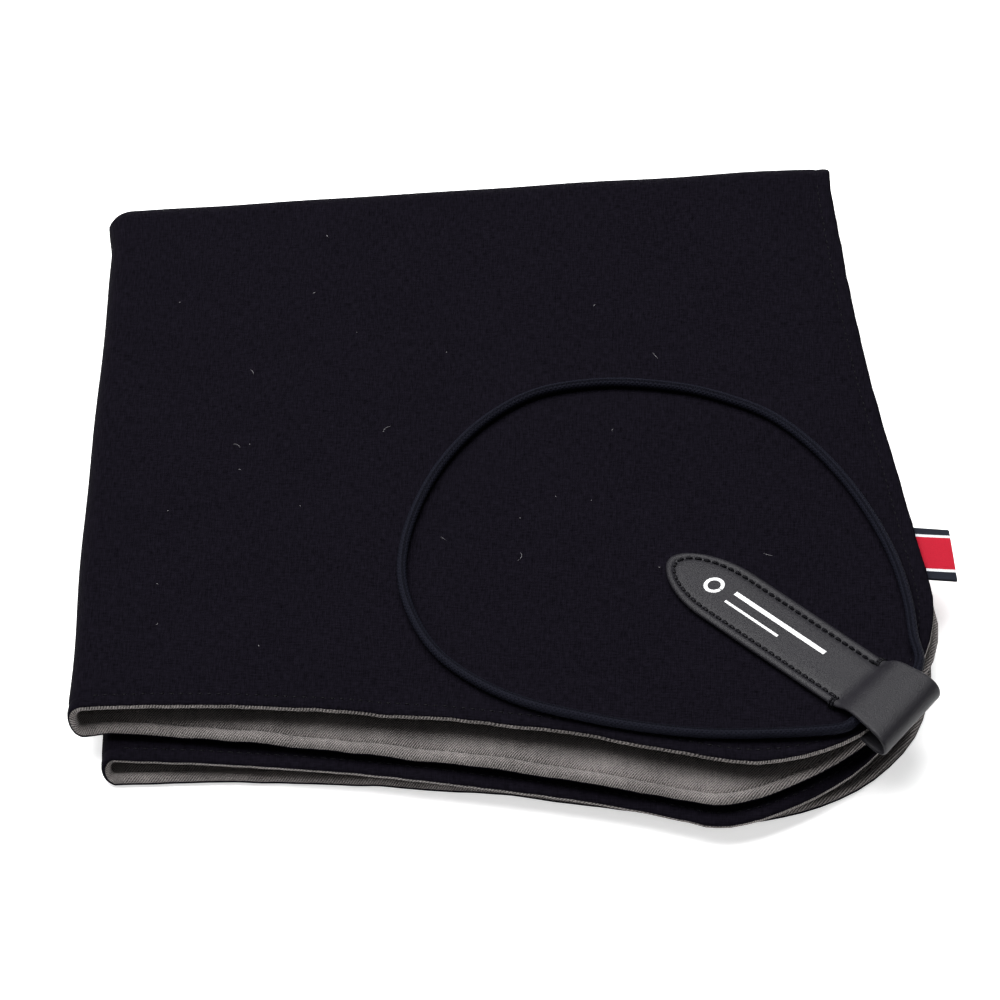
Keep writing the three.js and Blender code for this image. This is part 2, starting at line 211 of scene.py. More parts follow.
def seed_of(q):
    return 10 * (QUARTERS.index(q) + 1)


def lift(q, left, x, y):
    """How far the cloth's middle stands off its flat height: gentle swells and shallow creases."""
    seed = seed_of(q)
    swell = q.ripple * ripple(x, y, seed + 3, 120) + q.crease * ripple(x, y, seed + 4, 28)
    calm = smooth((x - left) / 40) * smooth((q.fold_y - y) / 40)
    strap = np.exp(-(((x - 235) / 60) ** 2 + ((y + 235) / 60) ** 2))
    return swell * calm * (1 - 0.8 * strap)


def settle(points):
    """Hand folding leaves the folds a little askew, and the pile leans and sags."""
    p = np.array(points, float)
    x, y, z = p.T.copy()
    near_fold = np.clip(1 - x / 130, 0, 1.05)
    near_back = np.clip(1 + y / 150, 0, 1)
    near_right = np.clip(x / 240, 0, 1) ** 2
    p[:, 1] += near_back**2 * lerp(-2.3, 2.9, np.clip(x / 210, 0, 1))
    p[:, 0] += near_fold * lerp(-1.8, 2.1, -y / 240)
    p[:, 0] -= 2.0 * smooth((y + 24) / 20) * (1 - smooth(x / 30))  # the crossing of the two folds
    p[:, 0] -= near_back * near_right * 0.1 * (HEIGHT - z)
    p[:, 0] += 1.1 * near_right * np.exp(-(((y + 155) / 38) ** 2))  # the side beside the label
    # The upper pair's fold overhangs the lower pair and sags in front.
    overhang = (z > MIDDLE_Z) * (1 - smooth(x / 15)) * smooth((-y - 50) / 110)
    p[:, 2] -= 2.8 * overhang * np.clip((17 - z) / 6, 0, 1)
    return p


# The hem's roll uses up cloth: how much more than the distance from the flat cloth, at each depth.
def rolled(inset):
    depth, height = np.array(HEM_DEPTH[::-1]), np.array(LINING_HALF[::-1])
    length = np.concatenate([[0], np.cumsum(np.hypot(np.diff(depth), np.diff(height)))])
    return np.interp(inset, HEM_DEPTH, (length - (depth[0] - depth))[::-1])


# ---- surfaces -------------------------------------------------------------------------------
# A surface is the cloth's middle: points, the direction to the canvas side, the distance to the
# open edge (as far as the hem goes), flat cloth coordinates (mm), and four-sided faces that turn
# round that direction.
def grid_faces(rows, cols, first=0):
    i, j = np.meshgrid(np.arange(rows - 1), np.arange(cols - 1), indexing="ij")
    a = first + i * cols + j
    return np.stack([a, a + 1, a + cols + 1, a + cols], -1).reshape(-1, 4)


def rim(faces):
    """The sides that only one of the faces has, as pairs of points."""
    sides = np.concatenate([faces[:, [k, (k + 1) % 4]] for k in range(4)])
    return sorted(set(map(tuple, sides)) - set(map(tuple, sides[:, ::-1])))


def plate_faces(rows, cols):
    """Faces of a closed plate whose second grid of points lies under its first."""
    count, top = rows * cols, grid_faces(rows, cols)
    faces = [tuple(f) for f in top] + [tuple(f[::-1] + count) for f in top]
    return faces + [(b, a, a + count, b + count) for a, b in rim(top)]


def patch(points, normals, inset, flat):
    """Arrays of shape (rows, cols, ...) as one surface."""
    rows, cols = inset.shape
    return SimpleNamespace(
        mid=points.reshape(-1, 3), normal=normals.reshape(-1, 3), inset=inset.reshape(-1),
        flat=flat.reshape(-1, 2), faces=grid_faces(rows, cols),
    )


def weld(patches):
    """Joins patches where their points and directions agree."""
    first, faces = 0, []
    for p in patches:
        faces.append(p.faces + first)
        first += len(p.mid)
    mid, normal, inset, flat = (
        np.concatenate([getattr(p, key) for p in patches]) for key in ("mid", "normal", "inset", "flat")
    )
    key = np.round(np.hstack([mid, normal * 10, inset[:, None]]), 3) + 0.0
    _, keep, where = np.unique(key, axis=0, return_index=True, return_inverse=True)
    faces = where.reshape(-1)[np.concatenate(faces)]
    return SimpleNamespace(
        mid=mid[keep], normal=normal[keep], inset=inset[keep], flat=flat[keep], faces=faces
    )


def half_thickness(inset, side):
    """From the cloth's middle to its canvas face (side 1) or its lining face (side -1)."""
    return np.interp(inset, HEM_DEPTH, CANVAS_HALF if side > 0 else LINING_HALF)


HEM_RINGS = np.array(HEM_DEPTH[::-1])  # from the flat cloth out to the edge


def quarter_patches(q, left, reverse):
    """A quarter's flat part and its hem. reverse turns the columns round, to face the canvas up."""
    inner = outline(q, left, HEM_RINGS[0])
    turn = FRONT_STEPS + CORNER_STEPS // 2
    front, right = inner[: turn + 1], inner[turn:][::-1]
    lengths = [np.linalg.norm(np.diff(side, axis=0), axis=1) for side in (front, right)]
    s, t = (np.concatenate([[0], np.cumsum(x)]) / x.sum() for x in lengths)
    corner = np.array([left, q.fold_y])
    back = corner + s[:, None] * (right[0] - corner)
    side = corner + t[:, None] * (front[0] - corner)
    S, T = s[None, :, None], t[:, None, None]
    flat = (
        (1 - T) * back[None] + T * front[None] + (1 - S) * side[:, None] + S * right[:, None]
        - ((1 - S) * (1 - T) * corner + S * (1 - T) * right[0] + (1 - S) * T * front[0]
           + S * T * front[-1])
    )
    hem = np.stack([outline(q, left, inset) for inset in HEM_RINGS])
    made = []
    outward = (hem[-1] - hem[0]) / HEM_RINGS[0]
    roll = outward[None] * rolled(HEM_RINGS)[:, None, None]
    for xy, extra, inset in ((flat, 0 * flat, np.full(flat.shape[:2], HEM_RINGS[0])),
                             (hem, roll, np.repeat(HEM_RINGS[:, None], hem.shape[1], 1))):
        if reverse:
            xy, extra = xy[:, ::-1], extra[:, ::-1]
        z = q.mid + lift(q, left, xy[..., 0], xy[..., 1])
        points = np.dstack([xy, z])
        normals = np.zeros_like(points)
        normals[..., 2] = q.side
        cloth = xy + extra
        if q.side < 0:  # the cloth goes on past the left fold
            cloth = np.dstack([2 * left - 14 - cloth[..., 0], cloth[..., 1]])
        made.append(patch(points, normals, inset, cloth))
    return made, back, t


class Book:
    """Two quarters, one over the other, and the left fold that joins them."""

    FOLD_STEPS = 18

    def __init__(self, upper, lower, fold_x, sway):
        self.upper, self.lower, self.x = upper, lower, fold_x
        self.radius = (upper.mid - lower.mid) / 2
        self.z = (upper.mid + lower.mid) / 2
        self.sway = sway
        self.angles = np.pi * eased(self.FOLD_STEPS)
        first, self.upper_back, self.t = quarter_patches(upper, fold_x, True)
        second, self.lower_back, t = quarter_patches(lower, fold_x, False)
        ends = [[outline(q, fold_x, inset)[0, 1] for inset in HEM_RINGS] for q in (upper, lower)]
        turn = self.angles / np.pi
        front = np.array([lerp(ends[0][0], ends[1][0], u) for u in turn])
        back = self.back_y(self.angles)
        share = lerp(self.t[:, None], t[:, None], turn[None])
        body = self.fold(back[None] + share * (front - back)[None], HEM_RINGS[0])
        rings = np.array([[lerp(a, b, u) for u in turn] for a, b in zip(*ends)])
        hem = self.fold(rings, HEM_RINGS[:, None])
        self.surface = weld(first + [body, hem] + second)

    def back_y(self, angles):
        return lerp(self.upper.fold_y, self.lower.fold_y, (1 - np.cos(angles)) / 2)

    def fold(self, y, inset):
        """The half round at the left, at the given y for each row and angle."""
        angles = np.broadcast_to(self.angles, y.shape)
        calm = smooth((OUTER_BACK_Y - y) / 40)
        sway = self.sway * ripple(y, y * 0, seed_of(self.upper) + 6, 70) * calm * np.sin(angles)
        x = self.x - (self.radius + sway) * np.sin(angles)
        z = self.z + self.radius * np.cos(angles)
        normals = np.dstack([-np.sin(angles), np.zeros(y.shape), np.cos(angles)])
        flat = np.dstack([self.x - self.radius * angles, y - rolled(inset)])
        return patch(np.dstack([x, y, z]), normals, np.broadcast_to(inset, y.shape), flat)


BACK_STEPS = 26


def fold_line(turn, books):
    return lerp(books[0].x, books[1].x, turn)


def radial(turn):
    angle = np.pi * np.asarray(turn)
    return np.stack([np.zeros_like(angle), np.sin(angle), np.cos(angle)], -1)


class BackFold:
    """A half round at the back, from an upper quarter to a lower one."""

    def __init__(self, upper, lower, y, facing):
        self.upper, self.lower, self.facing = upper, lower, facing
        self.centre = np.array([0, y, (upper.mid + lower.mid) / 2])
        self.radius = (upper.mid - lower.mid) / 2

    def at(self, turn, x):
        turn = np.asarray(turn, float)
        point = self.centre + self.radius * radial(turn)
        point[..., 0] = x
        return point

    def surface(self, upper_x, lower_x, insets, waver):
        turn = eased(BACK_STEPS)[:, None]
        x = lerp(upper_x[None], lower_x[None], turn)
        points = self.at(np.broadcast_to(turn, x.shape), x)
        calm = smooth((x - x[:, :1]) / 30)
        bulge = waver * ripple(x, x * 0, 77, 60) * calm * np.sin(np.pi * turn)
        normals = radial(np.broadcast_to(turn, x.shape))
        points += normals * bulge[..., None]
        flat = np.dstack([x, self.centre[1] + self.radius * np.pi * np.broadcast_to(turn, x.shape)])
        return patch(points, normals * self.facing, np.broadcast_to(insets, x.shape), flat)


EAR = 0.35  # how much the crossing of the two folds bulges out


def fold_corner(outer, inner, books):
    """Where the left fold turns with the back fold."""
    turn = eased(BACK_STEPS)[:, None]
    angle = np.pi * eased(Book.FOLD_STEPS)[None]
    x = fold_line(turn, books)
    a, b = outer.at(turn[:, 0], x[:, 0])[:, None], inner.at(turn[:, 0], x[:, 0])[:, None]
    centre, reach = (a + b) / 2, (a - b) / 2
    size = np.linalg.norm(reach, axis=2)
    bulge = lerp(books[0].radius / size[0], books[1].radius / size[-1], turn)
    bulge = bulge * (1 + EAR * np.sin(np.pi * turn))
    points = centre + reach * np.cos(angle)[..., None]
    points[..., 0] -= bulge * size * np.sin(angle)
    normals = radial(turn[:, 0])[:, None] * np.cos(angle)[..., None]
    normals[..., 0] -= np.sin(angle)
    flat = np.dstack([np.broadcast_to(x, points.shape[:2]) - 4 * angle, 20 * turn + 0 * angle])
    return patch(points, normals, np.full(points.shape[:2], HEM_RINGS[0]), flat)


# ---- meshes -----------------------------------------------------------------------------------
def mesh_object(name, points, faces, material, flat=None, sharp=60):
    """A mesh object from points in metres, with flat coordinates in mm as its UV map."""
    data = bpy.data.meshes.new(name)
    data.from_pydata([tuple(p) for p in np.asarray(points, float)], [], [tuple(f) for f in faces])
    data.validate()
    if flat is not None:
        layer = data.uv_layers.new(name="flat")
        corner = np.empty(len(data.loops), int)
        data.loops.foreach_get("vertex_index", corner)
        layer.data.foreach_set("uv", (np.asarray(flat, float)[corner] * MM).ravel())
    data.shade_smooth()
    data.set_sharp_from_angle(angle=math.radians(sharp))
    data.materials.append(material)
    made = bpy.data.objects.new(name, data)
    bpy.context.scene.collection.objects.link(made)
    return made


def ply(name, surface, side, material, floor=0.02):
    """The canvas (side 1) or the lining (side -1) of a surface, as a closed solid."""
    count = len(surface.mid)
    edge = surface.inset == 0
    split = side * PLY_SPLIT
    seam = np.interp(surface.mid[:, 2], [q.mid for q in QUARTERS[::-1]], SEAM_SHIFT)
    outer = np.where(edge, seam + split, side * half_thickness(surface.inset, side))
    inner = np.where(edge, seam + split, split)
    face_points = [surface.mid + surface.normal * w[:, None] for w in (outer, inner)]
    points = np.vstack(face_points)
    points[:, 2] = np.maximum(points[:, 2], floor)
    twin = np.where(edge, np.arange(count), np.arange(count) + count)
    front = surface.faces if side > 0 else surface.faces[:, ::-1]
    walls = [(b, a, twin[a], twin[b]) for a, b in rim(front) if not (edge[a] and edge[b])]
    faces = [tuple(f) for f in front] + [tuple(twin[f[::-1]]) for f in front]
    faces += [tuple(dict.fromkeys(wall)) for wall in walls]
    used = sorted({v for f in faces for v in f})
    renumber = dict(zip(used, range(len(used))))
    faces = [tuple(renumber[v] for v in f) for f in faces]
    flat = np.vstack([surface.flat, surface.flat])[used]
    return mesh_object(name, place(settle(points[used])), faces, material, flat)


def tube(path, radii, sides, frame_up=(0, 0, 1)):
    """Points, faces and flat coordinates of a round bar along a path, closed at both ends."""
    path = np.asarray(path, float)
    count = len(path)
    tangent = np.gradient(path, axis=0)
    tangent /= np.linalg.norm(tangent, axis=1)[:, None]
    up = np.asarray(frame_up, float) - tangent * (tangent @ np.asarray(frame_up, float))[:, None]
    up /= np.linalg.norm(up, axis=1)[:, None]
    across = np.cross(tangent, up)
    angle = 2 * np.pi * np.arange(sides) / sides
    ring = up[:, None] * np.cos(angle)[None, :, None] + across[:, None] * np.sin(angle)[None, :, None]
    points = path[:, None] + ring * np.asarray(radii, float).reshape(-1, 1, 1)
    points = np.vstack([points.reshape(-1, 3), path[:1], path[-1:]])
    faces = []
    for i in range(count - 1):
        for k in range(sides):
            n = (k + 1) % sides
            faces.append((i * sides + k, (i + 1) * sides + k, (i + 1) * sides + n, i * sides + n))
    start, end = count * sides, count * sides + 1
    for k in range(sides):
        n = (k + 1) % sides
        faces.append((start, k, n))
        faces.append((end, (count - 1) * sides + n, (count - 1) * sides + k))
    length = run_length(path)
    flat = np.stack(np.broadcast_arrays(length[:, None], angle[None]), -1).reshape(-1, 2)
    flat = np.vstack([flat, [[0, 0]], [[length[-1], 0]]])
    return points, faces, flat


def joined(parts):
    """Several (points, faces, flat) as one."""
    points, faces, flat, first = [], [], [], 0
    for p, f, uv in parts:
        points.append(p)
        flat.append(uv)
        faces += [tuple(v + first for v in face) for face in f]
        first += len(p)
    return np.vstack(points), faces, np.vstack(flat)


def stitch(start, end, up, thickness, arch=0.12):
    """One stitch of thread, which dips into the cloth at both ends."""
    t = np.linspace(0, 1, 6)
    path = lerp(np.asarray(start, float)[None], np.asarray(end, float)[None], t[:, None])
    rise = arch * np.sin(np.pi * t) - thickness * (np.abs(2 * t - 1) ** 3) * 0.7
    path = path + np.asarray(up, float)[None] * rise[:, None]
    radii = thickness / 2 * np.array([0.55, 0.9, 1, 1, 0.9, 0.55])
    return tube(path, radii, 6, up)


def resample(points, pitch):
    length = run_length(points)
    count = max(2, int(length[-1] / pitch))
    at = np.linspace(0, length[-1], count + 1)
    return np.column_stack([np.interp(at, length, points[:, k]) for k in range(points.shape[1])])


# ---- materials --------------------------------------------------------------------------------
class Shade:
    """A Principled material and short ways to build its nodes."""

    def __init__(self, name, **values):
        self.material = bpy.data.materials.new(name)
        self.material.use_nodes = True
        self.tree = self.material.node_tree
        self.shader = next(n for n in self.tree.nodes if n.type == "BSDF_PRINCIPLED")
        for key, value in values.items():
            self.shader.inputs[key.replace("_", " ")].default_value = value

    def node(self, kind, inputs=(), **settings):
        node = self.tree.nodes.new(kind)
        for key, value in settings.items():
            setattr(node, key, value)
        for key, value in dict(inputs).items():
            if isinstance(value, bpy.types.NodeSocket):
                self.tree.links.new(value, node.inputs[key])
            else:
                node.inputs[key].default_value = value
        return node

    def math(self, operation, *values):
        return self.node("ShaderNodeMath", enumerate(values), operation=operation).outputs[0]

    def total(self, first, *weighted):
        """first and the (value, weight) pairs, added up."""
        for value, weight in weighted:
            first = self.math("ADD", first, self.math("MULTIPLY", value, weight))
        return first

    def spread(self, value, low, high):
        """From 0 at low to 1 at high."""
        node = self.node("ShaderNodeMapRange", {"Value": value, "From Min": low, "From Max": high})
        return node.outputs[0]

    def blend(self, factor, low, high):
        node = self.node("ShaderNodeMapRange", {"Value": factor, "To Min": low, "To Max": high})
        return node.outputs[0]

    def mix(self, factor, a, b):
        node = self.node("ShaderNodeMix", data_type="RGBA")
        for socket, value in zip((node.inputs[0], node.inputs[6], node.inputs[7]), (factor, a, b)):
            if isinstance(value, bpy.types.NodeSocket):
                self.tree.links.new(value, socket)
            else:
                socket.default_value = value
        return node.outputs[2]

    def flat(self):
        """The cloth's flat coordinates in mm, as a vector, u and v."""
        uv = self.node("ShaderNodeUVMap", uv_map="flat").outputs[0]
        scaled = self.node("ShaderNodeVectorMath", {0: uv, "Scale": 1 / MM}, operation="SCALE")
        split = self.node("ShaderNodeSeparateXYZ", {0: scaled.outputs[0]})
        return scaled.outputs[0], split.outputs[0], split.outputs[1]

    def noise(self, vector, size, stretch=(1, 1, 1), detail=2.0):
        """Noise from 0 to 1 whose features are about size mm across, longer along a stretch."""
        scale = [1 / (size * s) for s in stretch]
        mapped = self.node("ShaderNodeMapping", {"Vector": vector, "Scale": scale}).outputs[0]
        return self.node(
            "ShaderNodeTexNoise", {"Vector": mapped, "Scale": 1.0, "Detail": detail}
        ).outputs[0]

    def wave(self, value, period):
        """A sine wave from -1 to 1."""
        return self.math("SINE", self.math("MULTIPLY", value, 2 * math.pi / period))

    def out(self, colour=None, roughness=None, height=None, depth=0.1):
        """Links the shader. height is in parts of depth, which is in mm."""
        links = self.tree.links
        if colour is not None:
            links.new(colour, self.shader.inputs["Base Color"])
        if roughness is not None:
            links.new(roughness, self.shader.inputs["Roughness"])
        if height is not None:
            bump = self.node("ShaderNodeBump", {"Height": height, "Distance": depth * MM})
            links.new(bump.outputs[0], self.shader.inputs["Normal"])
        return self.material


def canvas_material():
    """Black plain-weave cotton: crossing threads, uneven slubs and a little fluff."""
    s = Shade("canvas_weave", Roughness=0.9, Specular_IOR_Level=0.02)
    flat, u, v = s.flat()
    pitch = 0.62
    warp = s.math("ABSOLUTE", s.wave(u, 2 * pitch))
    weft = s.math("ABSOLUTE", s.wave(v, 2 * pitch))
    over = s.math("MULTIPLY", s.wave(u, 2 * pitch), s.wave(v, 2 * pitch))
    weave = s.math("ADD", s.math("MULTIPLY", warp, s.blend(over, 0.5, 1.0)),
                   s.math("MULTIPLY", weft, s.blend(over, 1.0, 0.5)))
    slub_u = s.noise(flat, 0.55, (1, 7, 1))
    slub_v = s.noise(flat, 0.55, (5, 1, 1))
    slubs = s.math("ADD", slub_u, slub_v)
    patches = s.noise(flat, 24, detail=3.0)
    tone = s.total(s.math("MULTIPLY", slubs, 0.9), (weave, 0.25), (patches, 0.12))
    colour = s.mix(s.spread(tone, 0.72, 1.65), (0.0004, 0.0003, 0.0008, 1), (0.0068, 0.0057, 0.0096, 1))
    return s.out(colour, None, s.total(slubs, (weave, 0.6)), 0.07)


def lining_material():
    """Grey brushed twill: fine slanting ribs under a raised nap."""
    s = Shade("lining_twill", Roughness=0.95, Sheen_Weight=0.08, Sheen_Roughness=0.6, Specular_IOR_Level=0.1)
    flat, u, v = s.flat()
    rib = s.wave(s.total(u, (v, 0.8)), 0.9)
    nap = s.noise(flat, 0.5, detail=3.0)
    brushed = s.noise(flat, 2.2, (1, 3, 1), 3.0)
    patches = s.noise(flat, 15, detail=3.0)
    tone = s.total(s.math("MULTIPLY", rib, 0.4), (nap, 1.6), (brushed, 0.4), (patches, 0.5))
    colour = s.mix(s.spread(tone, 0.7, 1.8), (0.008, 0.007, 0.0068, 1), (0.28, 0.255, 0.247, 1))
    return s.out(colour, None, s.total(nap, (rib, 0.45)), 0.25)


def thread_material(name, dark, light):
    """Sewing thread of two twisted strands."""
    s = Shade(name, Roughness=0.55, Specular_IOR_Level=0.12)
    _, u, v = s.flat()
    twist = s.math("SINE", s.total(s.math("MULTIPLY", u, 7.0), (v, 2.0)))
    return s.out(s.mix(s.spread(twist, -1.0, 1.0), dark, light), None, twist, 0.08)


def leather_material():
    """Black satin leather: fine grain, a few pores and lighter handling marks."""
    s = Shade("black_leather", Specular_IOR_Level=0.23)
    flat = s.flat()[0]
    warped = s.node("ShaderNodeVectorMath", {0: flat, 1: s.node(
        "ShaderNodeTexNoise", {"Vector": flat, "Scale": 1.2}).outputs[1]}, operation="ADD").outputs[0]
    cells = s.node("ShaderNodeTexVoronoi", {"Vector": warped, "Scale": 1.7}, feature="DISTANCE_TO_EDGE")
    grain = s.math("MINIMUM", s.math("MULTIPLY", cells.outputs[0], 3.0), 1.0)
    fine = s.noise(flat, 0.35, detail=4.0)
    wear = s.noise(flat, 7, (3, 1, 1), 4.0)
    tone = s.total(s.math("MULTIPLY", wear, 0.8), (fine, 0.3))
    colour = s.mix(tone, (0.0045, 0.0042, 0.006, 1), (0.014, 0.013, 0.017, 1))
    roughness = s.blend(s.total(wear, (fine, 0.4)), 0.38, 0.52)
    return s.out(colour, roughness, s.total(grain, (fine, 0.8)), 0.045)


def cord_material():
    """Navy-black braid over elastic: strands that cross in a herringbone."""
    s = Shade("braided_cord", Roughness=0.75, Specular_IOR_Level=0.05)
    flat, u, v = s.flat()
    turn = s.math("MULTIPLY", v, 8.0)
    run = s.math("MULTIPLY", u, 4.2)
    left = s.math("SINE", s.math("ADD", run, turn))
    right = s.math("SINE", s.math("SUBTRACT", run, turn))
    braid = s.math("MAXIMUM", left, right)
    fluff = s.noise(flat, 0.5, detail=3.0)
    tone = s.total(fluff, (braid, 0.16))
    colour = s.mix(s.blend(tone, 0.0, 1.0), (0.0012, 0.0014, 0.003, 1), (0.0085, 0.0088, 0.0155, 1))
    return s.out(colour, None, s.total(braid, (fluff, 0.6)), 0.07)


def metal_material():
    """Rolled aluminium with fine scratches."""
    s = Shade("crimp_metal", Metallic=1.0)
    flat = s.flat()[0]
    scratch = s.noise(flat, 0.2, (8, 1, 1), 3.0)
    colour = s.mix(scratch, (0.38, 0.38, 0.4, 1), (0.62, 0.62, 0.64, 1))
    return s.out(colour, s.blend(scratch, 0.28, 0.5), scratch, 0.02)


def label_material():
    """Woven ribbon: black edges, two thin white lines and a red band between them."""
    s = Shade("woven_ribbon", Roughness=0.6, Specular_IOR_Level=0.12)
    flat, u, v = s.flat()
    warp = s.wave(u, 0.5)
    weft = s.wave(v, 0.42)
    weave = s.math("MULTIPLY", warp, weft)
    middle = s.math("ABSOLUTE", s.total(v, (warp, 0.07)))
    white_in = s.math("LESS_THAN", middle, 8.0)
    red_in = s.math("LESS_THAN", middle, 6.9)
    cloth = s.noise(flat, 0.5, detail=3.0)
    shade = s.blend(s.total(cloth, (weave, 0.2)), 0, 1)
    black = s.mix(shade, (0.004, 0.005, 0.009, 1), (0.014, 0.017, 0.028, 1))
    white = s.mix(shade, (0.55, 0.55, 0.58, 1), (0.82, 0.83, 0.86, 1))
    red = s.mix(shade, (0.3, 0.004, 0.014, 1), (0.5, 0.012, 0.034, 1))
    colour = s.mix(red_in, s.mix(white_in, black, white), red)
    return s.out(colour, None, s.math("ADD", weave, cloth), 0.06)


def foil_material():
    """White hot-stamped foil, a little worn."""
    s = Shade("white_foil", Roughness=0.5)
    flat = s.flat()[0]
    worn = s.noise(flat, 0.8, detail=4.0)
    colour = s.mix(s.blend(worn, 0.0, 1.0), (0.6, 0.6, 0.61, 1), (0.86, 0.86, 0.87, 1))
    return s.out(colour, None, worn, 0.02)


def lint_material():
    s = Shade("lint", Roughness=1.0)
    flat = s.flat()[0]
    colour = s.mix(s.noise(flat, 0.6), (0.1, 0.1, 0.11, 1), (0.26, 0.25, 0.26, 1))
    return s.out(colour)


CANVAS, LINING = canvas_material(), lining_material()
THREAD = thread_material("black_thread", (0.0006, 0.0005, 0.001, 1), (0.008, 0.0075, 0.011, 1))
BOBBIN = thread_material("grey_thread", (0.035, 0.032, 0.031, 1), (0.085, 0.08, 0.077, 1))
LEATHER, BRAID, METAL = leather_material(), cord_material(), metal_material()
RIBBON, FOIL, LINT = label_material(), foil_material(), lint_material()


# ---- the camera --------------------------------------------------------------------------------
def add_camera():
    azimuth, elevation, roll = (math.radians(a) for a in (7.19, 43.45, -7.42))
    target = Vector(place([131.6, -131.7, 0]))
    distance = 1.9309
    back = Vector((
        math.sin(azimuth) * math.cos(elevation),
        -math.cos(azimuth) * math.cos(elevation),
        math.sin(elevation),
    ))
    level = Vector((math.cos(azimuth), math.sin(azimuth), 0))
    up = back.cross(level)
    right = level * math.cos(roll) + up * math.sin(roll)
    top = up * math.cos(roll) - level * math.sin(roll)
    data = bpy.data.cameras.new("camera")
    data.sensor_width = 36
    data.lens = 216
    camera = bpy.data.objects.new("camera", data)
    bpy.context.scene.collection.objects.link(camera)
    camera.matrix_world = Matrix.Translation(target + back * distance) @ Matrix(
        (right, top, back)
    ).transposed().to_4x4()
    bpy.context.scene.camera = camera


# ---- the elastic loop ---------------------------------------------------------------------------
# Its route over the top quarter, as [along, across] on the diagonal, as in the CAD model.
LOOP_ROUTE = [
    [358, 4.3], [358, 10], [358, 16], [354.3, 22], [346.5, 27.5], [335, 37], [320, 47],
    [302, 56], [281, 63.5], [259, 68], [238, 68], [218, 62], [202, 53], [188, 41], [178, 26],
    [175, 8], [178, -12], [186, -31], [197, -48], [210, -61], [226, -70], [243, -75], [261, -75],
    [279, -71], [296, -63], [312, -54], [328, -43], [342, -31], [352, -21], [357.6, -14],
    [358, -9.5], [358, -4.3],
]
CORD = 3.2
TUNNEL_ALONG = 358
SPLICE_REACH = 4.0  # half the crimp's length


def catmull_rom(points, steps):
    """A smooth line through the points."""
    p = np.asarray(points, float)
    p = np.vstack([2 * p[0] - p[1], p, 2 * p[-1] - p[-2]])
    t = np.linspace(0, 1, steps, endpoint=False)[:, None]
    line = []
    for a, b, c, d in zip(p[:-3], p[1:-2], p[2:-1], p[3:]):
        line.append(0.5 * (2 * b + (c - a) * t + (2 * a - 5 * b + 4 * c - d) * t**2
                           + (3 * b - a - 3 * c + d) * t**3))
    return np.vstack(line + [p[-2][None]])


def make_loop():
    low, high = heights("elastic_loop")
    tunnel_z = (low + high) / 2
    line = catmull_rom(LOOP_ROUTE, 14)
    line = resample(line, 1.2)
    corner = np.array([line[:, 0] + line[:, 1], line[:, 1] - line[:, 0]]).T * math.sqrt(0.5)
    resting = HEIGHT + CORD / 2 + 0.25 + lift(TOP, UPPER_FOLD_X, corner[:, 0], corner[:, 1])
    rise = smooth((line[:, 0] - 325) / 28)
    path = np.column_stack([line, lerp(resting, tunnel_z, rise)])
    path = place_diagonal(path) / MM
    points, faces, flat = tube(path, np.full(len(path), CORD / 2), 14)
    cord = mesh_object("loop_cord", points * MM, faces, BRAID, flat)
    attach(cord, "loop")
    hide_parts("elastic_loop")

    # The crimp that joins the cord's ends, pressed at two places.
    t = np.linspace(-1, 1, 25)
    radii = 1.88 - 0.28 * np.exp(-(((np.abs(t) - 0.45) / 0.12) ** 2)) - 0.25 * np.abs(t) ** 12
    line = np.column_stack([np.full(25, TUNNEL_ALONG), t * SPLICE_REACH, np.full(25, tunnel_z)])
    points, faces, flat = tube(place_diagonal(line) / MM, radii, 24)
    crimp = mesh_object("loop_crimp", points * MM, faces, METAL, flat)
    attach(crimp, "loop")
    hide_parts("loop_splice")


# ---- the cloth -----------------------------------------------------------------------------------
def stitches_along(line, up, pitch, thickness, gap=0.28):
    """Stitches between evenly spaced points of a line; up is a direction for each point."""
    parts = []
    at = resample(np.hstack([line, up]), pitch)
    for a, b in zip(at[:-1], at[1:]):
        step = (b[:3] - a[:3]) * gap / 2
        direction = a[3:] / np.linalg.norm(a[3:])
        parts.append(stitch(a[:3] + step, b[:3] - step, direction, thickness))
    return parts


def hem_stitches(name, quarters, left, body, face, material, nodes=()):
    """The hem's stitches on the canvas (face 1) or on the lining (face -1)."""
    parts = []
    for q in quarters:
        line = outline(q, left, HEM_INSET)
        line = line[(line[:, 0] > left + 1.5) & (line[:, 1] < q.fold_y - 1.5)]
        side = face * q.side
        sunk = half_thickness(HEM_INSET, face) + (0.02 if face > 0 else -0.05)
        z = q.mid + lift(q, left, line[:, 0], line[:, 1]) + side * sunk
        up = np.tile([0, 0, float(side)], (len(line), 1))
        parts += stitches_along(np.column_stack([line, np.maximum(z, 0.35)]), up, 3.0, 0.42)
    points, faces, flat = joined(parts)
    made = mesh_object(name, place(settle(points)), faces, material, flat)
    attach(made, body)
    if nodes:
        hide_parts(*nodes)
    return made


